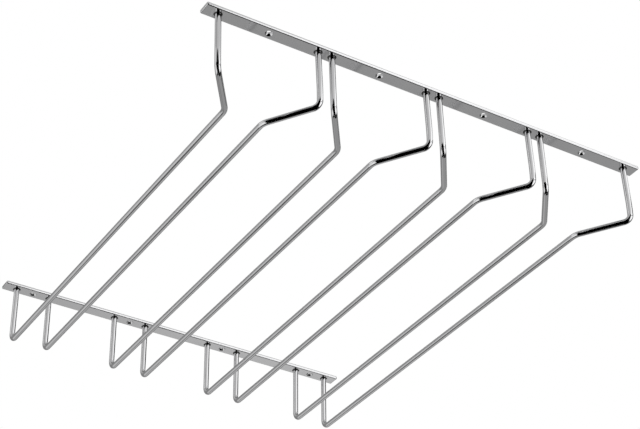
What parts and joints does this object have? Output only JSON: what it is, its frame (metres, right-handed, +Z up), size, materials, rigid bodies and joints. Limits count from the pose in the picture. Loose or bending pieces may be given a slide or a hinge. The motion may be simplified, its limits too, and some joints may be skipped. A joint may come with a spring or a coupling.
{
  "type": "hanging wine glass rack",
  "caption": "Chromed rod rack screwed up under a shelf, whose paired rails hang stemmed glasses upside down by their feet.",
  "frame": {"origin": "centre of the front bar's top face, which goes against the underside of the shelf or cabinet", "axes": "+X along the bars to the right as seen from the front, +Y from the open front end to the closed rear end, +Z up towards the shelf"},
  "size_m": [0.419, 0.4572, 0.0617],
  "materials": {
    "bars": "bright chrome plate on flat steel bar, edges softly rounded",
    "rods": "bright chrome plate on drawn steel rod",
    "welds": "chrome plate over a small fillet weld, slightly duller than the rod"
  },
  "bodies": {
    "root": {"front_bar": "bars", "rear_bar": "bars", "rod_1_left": "rods", "rod_1_right": "rods", "rod_2_left": "rods", "rod_2_right": "rods", "rod_3_left": "rods", "rod_3_right": "rods", "rod_4_left": "rods", "rod_4_right": "rods", "front_weld_1_left": "welds", "front_weld_1_right": "welds", "front_weld_2_left": "welds", "front_weld_2_right": "welds", "front_weld_3_left": "welds", "front_weld_3_right": "welds", "front_weld_4_left": "welds", "front_weld_4_right": "welds", "rear_weld_1_left": "welds", "rear_weld_1_right": "welds", "rear_weld_2_left": "welds", "rear_weld_2_right": "welds", "rear_weld_3_left": "welds", "rear_weld_3_right": "welds", "rear_weld_4_left": "welds", "rear_weld_4_right": "welds"}
  },
  "joints": []
}
